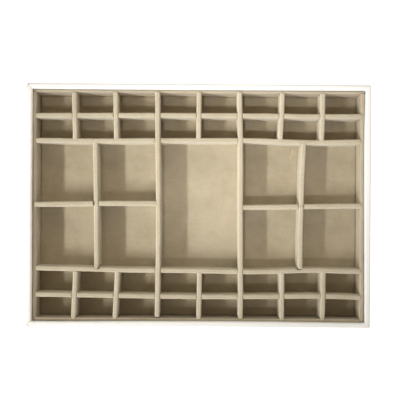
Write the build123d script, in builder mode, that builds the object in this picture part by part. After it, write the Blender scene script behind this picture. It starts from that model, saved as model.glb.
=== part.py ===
from build123d import *
from math import atan2, degrees
import os

os.makedirs("parts", exist_ok=True)

# Open jewelry tray: white leatherette-covered frame, velvet-wrapped wall liners and floor,
# and a lift-out grid of velvet-wrapped, cross-halved divider strips.
# +X right, +Y towards the back, +Z up, origin at the middle of the underside, millimetres.

# case
tray_length = 343.0
tray_depth = 242.0
tray_height = 32.0
corner_round = 1.5
rim_round = 1.5

# felt base pad, glued over the turned-under covering and dished into its opening
pad_thickness = 1.0
pad_inset = 2.0
pad_corner = 4.0

# covering sheet
cover_thickness = 0.7
cover_turn_down = 11.0
cover_turn_under = 12.0

# frame rails and base panel
rail_thickness = 4.1
rail_round = rim_round - cover_thickness
panel_thickness = 3.0
rebate_width = 2.0
panel_clearance = 0.1

# floor insert
floor_board_thickness = 1.5
floor_velvet_thickness = 0.8
floor_clearance = 0.2

# wall liners, free-standing in the frame with some play, pushed to the left and back
liner_board_thickness = 1.0
liner_velvet_thickness = 0.5
liner_gap = 0.1
liner_below_rim = 3.8
liner_flap = 10.0
liner_round = 0.9
liner_play_x = 1.35
liner_play_y = 0.85
liner_shift_x = -0.45
liner_shift_y = 0.75

# dividers
divider_board_thickness = 3.0
divider_velvet_thickness = 1.0
divider_below_rim = 3.0
divider_round = 1.0
slot_clearance = 0.1

# levels
rail_bottom = pad_thickness + cover_thickness
rail_top = tray_height - cover_thickness
panel_top = rail_bottom + panel_thickness
board_top = panel_top + floor_board_thickness
floor_top = board_top + floor_velvet_thickness
liner_top = tray_height - liner_below_rim
divider_top = tray_height - divider_below_rim
slot_level = (floor_top + divider_top) / 2

# plan sizes
frame_length = tray_length - 2 * cover_thickness
frame_depth = tray_depth - 2 * cover_thickness
well_length = frame_length - 2 * rail_thickness
well_depth = frame_depth - 2 * rail_thickness
mouth_length = well_length - 2 * cover_thickness
mouth_depth = well_depth - 2 * cover_thickness
under_length = tray_length - 2 * cover_turn_under
under_depth = tray_depth - 2 * cover_turn_under
liner_thickness = liner_board_thickness + 2 * liner_velvet_thickness
liner_back_x = mouth_length / 2 - liner_play_x
liner_back_y = mouth_depth / 2 - liner_play_y
cavity_x = liner_back_x - liner_thickness
cavity_y = liner_back_y - liner_thickness
divider_thickness = divider_board_thickness + 2 * divider_velvet_thickness

# Centre lines of the divider strips, (distance along the strip's run, distance across it).
# The strips are gently bowed, so each has a point at both ends and at every crossing.
front_to_back = {
    "long_divider_left": [(-110.8, -40.7), (-90.84, -40.37), (-64.87, -40.12), (-32.0, -39.88), (2.1, -40.12), (33.0, -40.53), (65.22, -41.08), (90.48, -41.4), (113.2, -41.55)],
    "long_divider_right": [(-111.7, 42.56), (-90.77, 42.83), (-65.7, 42.61), (-32.0, 42.3), (-1.3, 42.12), (33.0, 42.15), (65.8, 41.71), (90.62, 41.02), (113.2, 40.52)],
    "back_divider_far_left": [(66.99, -123.79), (89.96, -124.48), (113.2, -125.05)],
    "back_divider_left": [(67.25, -82.6), (90.28, -83.24), (113.2, -83.65)],
    "back_divider_centre": [(68.12, -0.2), (90.57, -0.07), (113.2, 0.01)],
    "back_divider_right": [(67.65, 81.52), (90.54, 82.63), (113.2, 83.55)],
    "back_divider_far_right": [(66.87, 122.83), (90.18, 123.7), (113.2, 124.0)],
    "front_divider_far_left": [(-111.7, -124.44), (-89.92, -123.55), (-66.32, -122.73)],
    "front_divider_left": [(-111.7, -82.89), (-90.4, -81.87), (-67.25, -80.8)],
    "front_divider_centre": [(-111.7, 0.91), (-91.0, 1.24), (-67.75, 1.53)],
    "front_divider_right": [(-111.7, 84.0), (-90.22, 84.0), (-67.59, 83.98)],
    "front_divider_far_right": [(-111.7, 124.7), (-89.84, 125.22), (-66.54, 125.46)],
    "bay_divider_left": [(-61.54, -101.5), (-32.0, -101.91), (1.85, -102.41), (31.0, -103.01), (61.78, -103.68)],
    "bay_divider_right": [(-61.58, 102.1), (-32.0, 102.33), (-0.05, 102.93), (31.0, 103.75), (61.75, 105.2)],
}
left_to_right = {
    "cross_divider_back_outer": [(-162.9, 89.46), (-124.48, 89.96), (-83.24, 90.28), (-41.4, 90.48), (-0.07, 90.57), (41.02, 90.62), (82.63, 90.54), (123.7, 90.18), (162.0, 90.66)],
    "cross_divider_back_inner": [(-162.9, 64.59), (-145.0, 64.6), (-123.7, 64.37), (-104.1, 64.4), (-82.5, 64.63), (-62.0, 65.06), (-41.08, 65.22), (-0.6, 65.5), (41.71, 65.8), (62.0, 65.69), (81.4, 65.04), (104.6, 64.36), (122.5, 64.25), (145.0, 64.84), (162.0, 65.03)],
    "bay_cross_divider_left": [(-162.9, 0.57), (-132.0, 1.22), (-102.41, 1.85), (-72.0, 2.27), (-42.74, 2.29)],
    "bay_cross_divider_right": [(44.74, -1.24), (72.0, -0.67), (102.93, -0.05), (132.0, 0.58), (162.0, 0.99)],
    "cross_divider_front_inner": [(-162.9, -63.12), (-145.0, -63.52), (-122.6, -63.7), (-101.5, -64.16), (-80.8, -64.63), (-62.0, -64.84), (-40.12, -64.87), (1.3, -65.13), (42.61, -65.7), (62.0, -65.61), (83.7, -64.97), (101.5, -64.21), (124.9, -63.92), (145.0, -64.66), (162.0, -64.57)],
    "cross_divider_front_outer": [(-162.9, -89.61), (-123.55, -89.92), (-81.87, -90.4), (-40.37, -90.84), (1.24, -91.0), (42.83, -90.77), (84.0, -90.22), (125.22, -89.84), (162.0, -90.64)],
}
# strips that stand a little taller than the rest
extra_height = {"bay_cross_divider_left": 1.2, "long_divider_left": 1.0, "long_divider_right": 0.5}
# every half-lap joint: the front-to-back strip is slotted from below, the other from above
crossings = [
    ("long_divider_left", "cross_divider_back_outer"),
    ("long_divider_left", "cross_divider_back_inner"),
    ("long_divider_left", "cross_divider_front_inner"),
    ("long_divider_left", "cross_divider_front_outer"),
    ("long_divider_right", "cross_divider_back_outer"),
    ("long_divider_right", "cross_divider_back_inner"),
    ("long_divider_right", "cross_divider_front_inner"),
    ("long_divider_right", "cross_divider_front_outer"),
    ("back_divider_far_left", "cross_divider_back_outer"),
    ("back_divider_left", "cross_divider_back_outer"),
    ("back_divider_centre", "cross_divider_back_outer"),
    ("back_divider_right", "cross_divider_back_outer"),
    ("back_divider_far_right", "cross_divider_back_outer"),
    ("front_divider_far_left", "cross_divider_front_outer"),
    ("front_divider_left", "cross_divider_front_outer"),
    ("front_divider_centre", "cross_divider_front_outer"),
    ("front_divider_right", "cross_divider_front_outer"),
    ("front_divider_far_right", "cross_divider_front_outer"),
    ("bay_divider_left", "bay_cross_divider_left"),
    ("bay_divider_right", "bay_cross_divider_right"),
]


def slope(points, i):
    """Across-per-along slope of a strip's centre line at its i-th point."""
    a, b = points[max(i - 1, 0)], points[min(i + 1, len(points) - 1)]
    return (b[1] - a[1]) / (b[0] - a[0])


def side(points, along_x, half, trim):
    """Points of one long side of a strip, half to the side of its centre line."""
    line = []
    last = len(points) - 1
    for i, (run, across) in enumerate(points):
        s = slope(points, i)
        if i == 0:
            run, across = run + trim, across + trim * s
        if i == last:
            run, across = run - trim, across - trim * s
        n = (1 + s * s) ** 0.5
        run, across = run - half * s / n, across + half / n
        line.append((run, across) if along_x else (across, run))
    return line


def joint_place(name, partner, along_x):
    """Plan position of a half-lap joint and the direction of the strip that fills the slot."""
    own = left_to_right[name] if along_x else front_to_back[name]
    other = front_to_back[partner] if along_x else left_to_right[partner]
    near = min(
        ((abs(p[0] - q[1]) + abs(p[1] - q[0]), i, k) for i, p in enumerate(own) for k, q in enumerate(other)),
    )
    run, across = own[near[1]]
    turn = degrees(atan2(slope(other, near[2]), 1))
    return (run, across) if along_x else (across, run), turn


# ---------------------------------------------------------------- frame rails, mitred at the corners
with BuildPart() as rail_front:
    with BuildSketch(Plane.XY.offset(rail_bottom)):
        with BuildLine():
            Polyline(
                (-frame_length / 2, -frame_depth / 2),
                (frame_length / 2, -frame_depth / 2),
                (well_length / 2, -well_depth / 2),
                (-well_length / 2, -well_depth / 2),
                close=True,
            )
        make_face()
    extrude(amount=rail_top - rail_bottom)
    fillet(rail_front.edges().group_by(Axis.Z)[-1].filter_by(Axis.X), rail_round)
    with BuildSketch(Plane.XY.offset(rail_bottom)):
        Rectangle(well_length + 2 * rebate_width, well_depth + 2 * rebate_width)
    extrude(amount=panel_thickness, mode=Mode.SUBTRACT)
rail_front.part.label = "rail_front"
export_step(rail_front.part, "parts/rail_front.step")

with BuildPart() as rail_back:
    with BuildSketch(Plane.XY.offset(rail_bottom)):
        with BuildLine():
            Polyline(
                (frame_length / 2, frame_depth / 2),
                (-frame_length / 2, frame_depth / 2),
                (-well_length / 2, well_depth / 2),
                (well_length / 2, well_depth / 2),
                close=True,
            )
        make_face()
    extrude(amount=rail_top - rail_bottom)
    fillet(rail_back.edges().group_by(Axis.Z)[-1].filter_by(Axis.X), rail_round)
    with BuildSketch(Plane.XY.offset(rail_bottom)):
        Rectangle(well_length + 2 * rebate_width, well_depth + 2 * rebate_width)
    extrude(amount=panel_thickness, mode=Mode.SUBTRACT)
rail_back.part.label = "rail_back"
export_step(rail_back.part, "parts/rail_back.step")

with BuildPart() as rail_left:
    with BuildSketch(Plane.XY.offset(rail_bottom)):
        with BuildLine():
            Polyline(
                (-frame_length / 2, frame_depth / 2),
                (-frame_length / 2, -frame_depth / 2),
                (-well_length / 2, -well_depth / 2),
                (-well_length / 2, well_depth / 2),
                close=True,
            )
        make_face()
    extrude(amount=rail_top - rail_bottom)
    fillet(rail_left.edges().group_by(Axis.Z)[-1].filter_by(Axis.Y), rail_round)
    with BuildSketch(Plane.XY.offset(rail_bottom)):
        Rectangle(well_length + 2 * rebate_width, well_depth + 2 * rebate_width)
    extrude(amount=panel_thickness, mode=Mode.SUBTRACT)
rail_left.part.label = "rail_left"
export_step(rail_left.part, "parts/rail_left.step")

with BuildPart() as rail_right:
    with BuildSketch(Plane.XY.offset(rail_bottom)):
        with BuildLine():
            Polyline(
                (frame_length / 2, -frame_depth / 2),
                (frame_length / 2, frame_depth / 2),
                (well_length / 2, well_depth / 2),
                (well_length / 2, -well_depth / 2),
                close=True,
            )
        make_face()
    extrude(amount=rail_top - rail_bottom)
    fillet(rail_right.edges().group_by(Axis.Z)[-1].filter_by(Axis.Y), rail_round)
    with BuildSketch(Plane.XY.offset(rail_bottom)):
        Rectangle(well_length + 2 * rebate_width, well_depth + 2 * rebate_width)
    extrude(amount=panel_thickness, mode=Mode.SUBTRACT)
rail_right.part.label = "rail_right"
export_step(rail_right.part, "parts/rail_right.step")

# ---------------------------------------------------------------- base panel, let into the rails' rebate
with BuildPart() as base_panel:
    with BuildSketch(Plane.XY.offset(rail_bottom)):
        Rectangle(
            well_length + 2 * rebate_width - 2 * panel_clearance,
            well_depth + 2 * rebate_width - 2 * panel_clearance,
        )
    extrude(amount=panel_thickness)
base_panel.part.label = "base_panel"
export_step(base_panel.part, "parts/base_panel.step")

# ---------------------------------------------------------------- covering: one sheet round the frame,
# over the rim, down inside behind the liners and turned under the base
with BuildPart() as leatherette_wrap:
    with BuildSketch(Plane.XY.offset(pad_thickness)):
        RectangleRounded(tray_length, tray_depth, corner_round)
    extrude(amount=tray_height - pad_thickness)
    with BuildSketch(Plane.XY.offset(rail_bottom)):
        Rectangle(mouth_length, mouth_depth)
    extrude(amount=tray_height - rail_bottom, mode=Mode.SUBTRACT)
    fillet(leatherette_wrap.edges().group_by(Axis.Z)[-1], rim_round)
    with BuildSketch(Plane.XY.offset(pad_thickness)):
        RectangleRounded(under_length, under_depth, corner_round)
    extrude(amount=cover_thickness, mode=Mode.SUBTRACT)
    with BuildSketch(Plane.XY.offset(rail_bottom)):
        Rectangle(well_length, well_depth)
    extrude(amount=tray_height - cover_turn_down - rail_bottom, mode=Mode.SUBTRACT)
    add(rail_front.part, mode=Mode.SUBTRACT)
    add(rail_back.part, mode=Mode.SUBTRACT)
    add(rail_left.part, mode=Mode.SUBTRACT)
    add(rail_right.part, mode=Mode.SUBTRACT)
    with BuildSketch(Plane.XY.offset(rail_bottom)):
        Rectangle(well_length + 2 * rebate_width, well_depth + 2 * rebate_width)
    extrude(amount=panel_thickness, mode=Mode.SUBTRACT)
leatherette_wrap.part.label = "leatherette_wrap"
export_step(leatherette_wrap.part, "parts/leatherette_wrap.step")

# ---------------------------------------------------------------- felt pad under the base
with BuildPart() as base_pad:
    with BuildSketch():
        RectangleRounded(tray_length - 2 * pad_inset, tray_depth - 2 * pad_inset, pad_corner)
    extrude(amount=pad_thickness)
    with BuildSketch(Plane.XY.offset(pad_thickness)):
        RectangleRounded(under_length - 1.0, under_depth - 1.0, corner_round)
    extrude(amount=cover_thickness)
    with BuildSketch():
        RectangleRounded(under_length - 3.0, under_depth - 3.0, corner_round)
    extrude(amount=cover_thickness, mode=Mode.SUBTRACT)
base_pad.part.label = "base_pad"
export_step(base_pad.part, "parts/base_pad.step")

# ---------------------------------------------------------------- floor insert
with BuildPart() as floor_board:
    with BuildSketch(Plane.XY.offset(panel_top)):
        Rectangle(well_length - 2 * floor_clearance, well_depth - 2 * floor_clearance)
    extrude(amount=floor_board_thickness)
floor_board.part.label = "floor_board"
export_step(floor_board.part, "parts/floor_board.step")

with BuildPart() as floor_velvet:
    with BuildSketch(Plane.XY.offset(board_top)):
        Rectangle(well_length - 2 * floor_clearance, well_depth - 2 * floor_clearance)
    extrude(amount=floor_velvet_thickness)
floor_velvet.part.label = "floor_velvet"
export_step(floor_velvet.part, "parts/floor_velvet.step")

# ---------------------------------------------------------------- wall liners: board with velvet over
# the face, over the top edge and down behind as a flap; the back one runs full length, the side
# ones butt against it, and the front one stands between the side ones
liners = [
    # name, runs along X, sign of the wall, start, end along the run
    ("back", True, 1, -liner_back_x, liner_back_x),
    ("front", True, -1, -(cavity_x - liner_gap), cavity_x - liner_gap),
    ("left", False, -1, -liner_back_y, cavity_y - liner_gap),
    ("right", False, 1, -liner_back_y, cavity_y - liner_gap),
]
for place, along_x, sign, start, end in liners:
    run_shift, across_shift = (liner_shift_x, liner_shift_y) if along_x else (liner_shift_y, liner_shift_x)
    start, end = start + run_shift, end + run_shift
    face = sign * (cavity_y if along_x else cavity_x) + across_shift
    back = sign * (liner_back_y if along_x else liner_back_x) + across_shift
    middle = (face + back) / 2
    flap_middle = back - sign * liner_velvet_thickness / 2
    mid_height = (floor_top + liner_top) / 2
    board_height = liner_top - liner_velvet_thickness - floor_top
    section = Plane.YZ.offset(start) if along_x else Plane.XZ.offset(-end)

    with BuildPart() as liner_board:
        with BuildSketch(section):
            with Locations((middle, floor_top + board_height / 2)):
                Rectangle(liner_board_thickness, board_height)
        extrude(amount=end - start)
    liner_board.part.label = "liner_board_" + place
    export_step(liner_board.part, "parts/liner_board_" + place + ".step")

    with BuildPart() as liner_velvet:
        with BuildSketch(section) as liner_section:
            with Locations((middle, mid_height)):
                Rectangle(liner_thickness, liner_top - floor_top)
            fillet(liner_section.vertices().group_by(Axis.Z)[-1], liner_round)
            with Locations((middle, floor_top + board_height / 2)):
                Rectangle(liner_board_thickness, board_height, mode=Mode.SUBTRACT)
            with Locations((flap_middle, floor_top + (liner_top - liner_flap - floor_top) / 2)):
                Rectangle(liner_velvet_thickness, liner_top - liner_flap - floor_top, mode=Mode.SUBTRACT)
        extrude(amount=end - start)
    liner_velvet.part.label = "liner_velvet_" + place
    export_step(liner_velvet.part, "parts/liner_velvet_" + place + ".step")

# ---------------------------------------------------------------- dividers: board core in a velvet
# sleeve that goes up one side, over the top edge and both ends and down the other side
for run_table, along_x in ((front_to_back, False), (left_to_right, True)):
    for name, points in run_table.items():
        top = divider_top + extra_height.get(name, 0.0)
        slots = [joint_place(name, h if not along_x else v, along_x) for v, h in crossings if name in (v, h)]
        slot_bottom = slot_level if along_x else floor_top - 1.0
        slot_height = top + 1.0 - slot_level if along_x else slot_level + slot_clearance - slot_bottom
        slot_width = divider_thickness + 2 * slot_clearance
        slot_x, slot_y = (slot_width, 16.0) if along_x else (16.0, slot_width)

        one = side(points, along_x, divider_board_thickness / 2, divider_velvet_thickness)
        two = side(points, along_x, -divider_board_thickness / 2, divider_velvet_thickness)
        with BuildPart() as divider_board:
            with BuildSketch(Plane.XY.offset(floor_top)):
                with BuildLine():
                    Spline(*one)
                    Line(one[-1], two[-1])
                    Spline(*two[::-1])
                    Line(two[0], one[0])
                make_face()
            extrude(amount=top - divider_velvet_thickness - floor_top)
            if slots:
                with BuildSketch(Plane.XY.offset(slot_bottom)):
                    for at, turn in slots:
                        with Locations(at):
                            Rectangle(slot_x, slot_y, rotation=-turn if along_x else turn)
                extrude(amount=slot_height, mode=Mode.SUBTRACT)
        divider_board.part.label = name + "_board"
        export_step(divider_board.part, "parts/" + name + "_board.step")

        one = side(points, along_x, divider_thickness / 2, 0.0)
        two = side(points, along_x, -divider_thickness / 2, 0.0)
        with BuildPart() as divider_velvet:
            with BuildSketch(Plane.XY.offset(floor_top)) as divider_plan:
                with BuildLine():
                    Spline(*one)
                    Line(one[-1], two[-1])
                    Spline(*two[::-1])
                    Line(two[0], one[0])
                make_face()
                fillet(divider_plan.vertices(), divider_round)
            extrude(amount=top - floor_top)
            fillet(divider_velvet.edges().group_by(Axis.Z)[-1], divider_round)
            add(divider_board.part, mode=Mode.SUBTRACT)
            if slots:
                with BuildSketch(Plane.XY.offset(slot_bottom)):
                    for at, turn in slots:
                        with Locations(at):
                            Rectangle(slot_x, slot_y, rotation=-turn if along_x else turn)
                extrude(amount=slot_height, mode=Mode.SUBTRACT)
        divider_velvet.part.label = name + "_velvet"
        export_step(divider_velvet.part, "parts/" + name + "_velvet.step")
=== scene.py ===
import math

import bpy
from mathutils import Matrix, Vector, noise


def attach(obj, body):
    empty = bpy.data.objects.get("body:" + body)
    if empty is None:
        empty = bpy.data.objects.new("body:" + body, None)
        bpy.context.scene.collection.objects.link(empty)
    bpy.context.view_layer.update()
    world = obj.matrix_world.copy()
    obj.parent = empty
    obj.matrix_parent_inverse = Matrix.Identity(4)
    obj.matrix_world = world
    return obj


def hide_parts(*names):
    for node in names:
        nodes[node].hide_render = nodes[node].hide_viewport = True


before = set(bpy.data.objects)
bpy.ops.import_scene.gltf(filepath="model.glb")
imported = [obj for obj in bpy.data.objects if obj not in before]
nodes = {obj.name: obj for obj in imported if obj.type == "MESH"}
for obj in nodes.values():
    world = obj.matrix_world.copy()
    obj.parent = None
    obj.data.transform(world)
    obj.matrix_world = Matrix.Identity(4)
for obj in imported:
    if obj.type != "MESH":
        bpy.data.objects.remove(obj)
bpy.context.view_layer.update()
MM = 0.001

# ------------------------------------------------------------------ sizes, millimetres, as in the CAD
HALF_X, HALF_Y, HEIGHT = 171.5, 121.0, 32.0
RIM = 5.5
FLOOR = 7.0
LINER_TOP = 28.2
TOP = 29.0
HALF = 2.5
SLOT_LEVEL = 18.0
# the velvet faces of the four wall liners, which stand with play in the frame
FACE_LEFT, FACE_RIGHT, FACE_BACK, FACE_FRONT = -163.1, 162.2, 113.4, -111.9

FRONT_TO_BACK = {
    "long_divider_left": [(-110.8, -40.7), (-90.84, -40.37), (-64.87, -40.12), (-32.0, -39.88), (2.1, -40.12), (33.0, -40.53), (65.22, -41.08), (90.48, -41.4), (113.2, -41.55)],
    "long_divider_right": [(-111.7, 42.56), (-90.77, 42.83), (-65.7, 42.61), (-32.0, 42.3), (-1.3, 42.12), (33.0, 42.15), (65.8, 41.71), (90.62, 41.02), (113.2, 40.52)],
    "back_divider_far_left": [(66.99, -123.79), (89.96, -124.48), (113.2, -125.05)],
    "back_divider_left": [(67.25, -82.6), (90.28, -83.24), (113.2, -83.65)],
    "back_divider_centre": [(68.12, -0.2), (90.57, -0.07), (113.2, 0.01)],
    "back_divider_right": [(67.65, 81.52), (90.54, 82.63), (113.2, 83.55)],
    "back_divider_far_right": [(66.87, 122.83), (90.18, 123.7), (113.2, 124.0)],
    "front_divider_far_left": [(-111.7, -124.44), (-89.92, -123.55), (-66.32, -122.73)],
    "front_divider_left": [(-111.7, -82.89), (-90.4, -81.87), (-67.25, -80.8)],
    "front_divider_centre": [(-111.7, 0.91), (-91.0, 1.24), (-67.75, 1.53)],
    "front_divider_right": [(-111.7, 84.0), (-90.22, 84.0), (-67.59, 83.98)],
    "front_divider_far_right": [(-111.7, 124.7), (-89.84, 125.22), (-66.54, 125.46)],
    "bay_divider_left": [(-61.54, -101.5), (-32.0, -101.91), (1.85, -102.41), (31.0, -103.01), (61.78, -103.68)],
    "bay_divider_right": [(-61.58, 102.1), (-32.0, 102.33), (-0.05, 102.93), (31.0, 103.75), (61.75, 105.2)],
}
LEFT_TO_RIGHT = {
    "cross_divider_back_outer": [(-162.9, 89.46), (-124.48, 89.96), (-83.24, 90.28), (-41.4, 90.48), (-0.07, 90.57), (41.02, 90.62), (82.63, 90.54), (123.7, 90.18), (162.0, 90.66)],
    "cross_divider_back_inner": [(-162.9, 64.59), (-145.0, 64.6), (-123.7, 64.37), (-104.1, 64.4), (-82.5, 64.63), (-62.0, 65.06), (-41.08, 65.22), (-0.6, 65.5), (41.71, 65.8), (62.0, 65.69), (81.4, 65.04), (104.6, 64.36), (122.5, 64.25), (145.0, 64.84), (162.0, 65.03)],
    "bay_cross_divider_left": [(-162.9, 0.57), (-132.0, 1.22), (-102.41, 1.85), (-72.0, 2.27), (-42.74, 2.29)],
    "bay_cross_divider_right": [(44.74, -1.24), (72.0, -0.67), (102.93, -0.05), (132.0, 0.58), (162.0, 0.99)],
    "cross_divider_front_inner": [(-162.9, -63.12), (-145.0, -63.52), (-122.6, -63.7), (-101.5, -64.16), (-80.8, -64.63), (-62.0, -64.84), (-40.12, -64.87), (1.3, -65.13), (42.61, -65.7), (62.0, -65.61), (83.7, -64.97), (101.5, -64.21), (124.9, -63.92), (145.0, -64.66), (162.0, -64.57)],
    "cross_divider_front_outer": [(-162.9, -89.61), (-123.55, -89.92), (-81.87, -90.4), (-40.37, -90.84), (1.24, -91.0), (42.83, -90.77), (84.0, -90.22), (125.22, -89.84), (162.0, -90.64)],
}
EXTRA_HEIGHT = {"bay_cross_divider_left": 1.2, "long_divider_left": 1.0, "long_divider_right": 0.5}
CROSSINGS = [
    ("long_divider_left", "cross_divider_back_outer"),
    ("long_divider_left", "cross_divider_back_inner"),
    ("long_divider_left", "cross_divider_front_inner"),
    ("long_divider_left", "cross_divider_front_outer"),
    ("long_divider_right", "cross_divider_back_outer"),
    ("long_divider_right", "cross_divider_back_inner"),
    ("long_divider_right", "cross_divider_front_inner"),
    ("long_divider_right", "cross_divider_front_outer"),
    ("back_divider_far_left", "cross_divider_back_outer"),
    ("back_divider_left", "cross_divider_back_outer"),
    ("back_divider_centre", "cross_divider_back_outer"),
    ("back_divider_right", "cross_divider_back_outer"),
    ("back_divider_far_right", "cross_divider_back_outer"),
    ("front_divider_far_left", "cross_divider_front_outer"),
    ("front_divider_left", "cross_divider_front_outer"),
    ("front_divider_centre", "cross_divider_front_outer"),
    ("front_divider_right", "cross_divider_front_outer"),
    ("front_divider_far_right", "cross_divider_front_outer"),
    ("bay_divider_left", "bay_cross_divider_left"),
    ("bay_divider_right", "bay_cross_divider_right"),
]


# ------------------------------------------------------------------ small helpers
def wob(x, y, z, seed):
    """Smooth noise from -1 to 1 at a point, the same on every run."""
    return noise.noise(Vector((x + 17.3 * seed, y - 9.1 * seed, z + 5.7 * seed)))


def ease(x):
    x = min(max(x, 0.0), 1.0)
    return x * x * (3 - 2 * x)


def spline_through(points):
    """Natural cubic through (run, across) points, as a function of the run."""
    n = len(points)
    xs = [p[0] for p in points]
    ys = [p[1] for p in points]
    h = [xs[i + 1] - xs[i] for i in range(n - 1)]
    m = [0.0] * n
    if n > 2:
        a = [0.0] * n
        b = [1.0] * n
        c = [0.0] * n
        d = [0.0] * n
        for i in range(1, n - 1):
            a[i] = h[i - 1]
            b[i] = 2 * (h[i - 1] + h[i])
            c[i] = h[i]
            d[i] = 6 * ((ys[i + 1] - ys[i]) / h[i] - (ys[i] - ys[i - 1]) / h[i - 1])
        for i in range(1, n):
            w = a[i] / b[i - 1]
            b[i] -= w * c[i - 1]
            d[i] -= w * d[i - 1]
        for i in range(n - 2, 0, -1):
            m[i] = (d[i] - c[i] * m[i + 1]) / b[i]

    def at(s):
        i = 0
        while i < n - 2 and s > xs[i + 1]:
            i += 1
        u, v = xs[i + 1] - s, s - xs[i]
        k = h[i]
        return (
            m[i] * u**3 / (6 * k)
            + m[i + 1] * v**3 / (6 * k)
            + (ys[i] / k - m[i] * k / 6) * u
            + (ys[i + 1] / k - m[i + 1] * k / 6) * v
        )

    return at


def grid_mesh(name, rows, close_rows=False, close_columns=False, skip=None, outward=None, extra_faces=()):
    """Quad mesh over rows of points in millimetres. skip leaves a face out. outward is a face's index and its outside direction."""
    count, across = len(rows), len(rows[0])
    verts = [(p[0] * MM, p[1] * MM, p[2] * MM) for row in rows for p in row]
    faces = []
    last_i = count if close_rows else count - 1
    last_j = across if close_columns else across - 1
    for i in range(last_i):
        for j in range(last_j):
            if skip and skip(i, j):
                continue
            k, l = (i + 1) % count, (j + 1) % across
            faces.append((i * across + j, k * across + j, k * across + l, i * across + l))
    faces += list(extra_faces)
    if outward:
        index, direction = outward
        f = [Vector(verts[v]) for v in faces[index]]
        normal = (f[2] - f[0]).cross(f[3] - f[1])
        if normal.dot(Vector(direction)) < 0:
            faces = [tuple(reversed(f)) for f in faces]
    mesh = bpy.data.meshes.new(name)
    mesh.from_pydata(verts, [], faces)
    # unused points of skipped faces are removed, so that no loose ones are left
    used = {v for f in faces for v in f}
    if len(used) < len(verts):
        import bmesh

        bm = bmesh.new()
        bm.from_mesh(mesh)
        bm.verts.ensure_lookup_table()
        loose = [v for v in bm.verts if not v.link_faces]
        bmesh.ops.delete(bm, geom=loose, context="VERTS")
        bm.to_mesh(mesh)
        bm.free()
    mesh.validate()
    for poly in mesh.polygons:
        poly.use_smooth = True
    obj = bpy.data.objects.new(name, mesh)
    bpy.context.scene.collection.objects.link(obj)
    return obj


def thicken(obj, thickness):
    mod = obj.modifiers.new("thickness", "SOLIDIFY")
    mod.thickness = thickness * MM
    mod.offset = -1.0
    mod.use_rim = True
    mod.use_even_offset = False
    return obj


def stations(start, end, step, special=()):
    """Places along a run: even steps, finer near both ends and near the special places."""
    places = {start, end}
    n = max(int(round((end - start) / step)), 2)
    places |= {start + (end - start) * i / n for i in range(1, n)}
    for e in (0.12, 0.35, 0.7, 1.1, 1.6, 2.2, 3.0):
        places |= {start + e, end - e}
    for lo, hi in special:
        places = {p for p in places if not (lo - 0.5 < p < hi + 0.5)}
        places |= {lo, hi, lo - 0.4, hi + 0.4, lo - 0.9, hi + 0.9, (lo + hi) / 2}
    places = sorted(p for p in places if start <= p <= end)
    keep = [places[0]]
    for p in places[1:]:
        if p - keep[-1] > 0.08:
            keep.append(p)
    keep[-1] = end
    return keep


# ------------------------------------------------------------------ materials
def new_material(name):
    mat = bpy.data.materials.new(name)
    mat.use_nodes = True
    tree = mat.node_tree
    tree.nodes.clear()
    out = tree.nodes.new("ShaderNodeOutputMaterial")
    bsdf = tree.nodes.new("ShaderNodeBsdfPrincipled")
    tree.links.new(bsdf.outputs["BSDF"], out.inputs["Surface"])
    where = tree.nodes.new("ShaderNodeTexCoord")
    return mat, tree, bsdf, where.outputs["Object"]


def tex_noise(tree, where, scale, detail=3.0, rough=0.55, stretch=None, turn=0.0):
    if stretch:
        mapping = tree.nodes.new("ShaderNodeMapping")
        mapping.inputs["Scale"].default_value = stretch
        mapping.inputs["Rotation"].default_value = (0.0, 0.0, turn)
        tree.links.new(where, mapping.inputs["Vector"])
        where = mapping.outputs["Vector"]
    tex = tree.nodes.new("ShaderNodeTexNoise")
    tex.inputs["Scale"].default_value = scale
    tex.inputs["Detail"].default_value = detail
    tex.inputs["Roughness"].default_value = rough
    tree.links.new(where, tex.inputs["Vector"])
    return tex.outputs["Fac"]


def ramp(tree, value, stops):
    node = tree.nodes.new("ShaderNodeValToRGB")
    node.color_ramp.interpolation = "LINEAR"
    el = node.color_ramp.elements
    el[0].position, el[0].color = stops[0][0], (*stops[0][1], 1.0)
    el[1].position, el[1].color = stops[-1][0], (*stops[-1][1], 1.0)
    for place, colour in stops[1:-1]:
        e = el.new(place)
        e.color = (*colour, 1.0)
    tree.links.new(value, node.inputs["Fac"])
    return node.outputs["Color"]


def mix(tree, kind, fac, a, b):
    node = tree.nodes.new("ShaderNodeMix")
    node.data_type = "RGBA"
    node.blend_type = kind
    node.clamp_factor = True
    for socket, value in (("Factor", fac), ("A", a), ("B", b)):
        target = next(s for s in node.inputs if s.name == socket and s.type == ("VALUE" if socket == "Factor" else "RGBA"))
        if isinstance(value, bpy.types.NodeSocket):
            tree.links.new(value, target)
        elif socket == "Factor":
            target.default_value = value
        else:
            target.default_value = (*value, 1.0)
    return next(s for s in node.outputs if s.type == "RGBA")


def maths(tree, kind, a, b=None, c=None, clamp=False):
    node = tree.nodes.new("ShaderNodeMath")
    node.operation = kind
    node.use_clamp = clamp
    for i, value in enumerate((a, b, c)):
        if value is None:
            continue
        if isinstance(value, bpy.types.NodeSocket):
            tree.links.new(value, node.inputs[i])
        else:
            node.inputs[i].default_value = value
    return node.outputs["Value"]


def bump(tree, height, strength, distance, before=None):
    node = tree.nodes.new("ShaderNodeBump")
    node.inputs["Strength"].default_value = strength
    node.inputs["Distance"].default_value = distance
    tree.links.new(height, node.inputs["Height"])
    if before:
        tree.links.new(before, node.inputs["Normal"])
    return node.outputs["Normal"]


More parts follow.
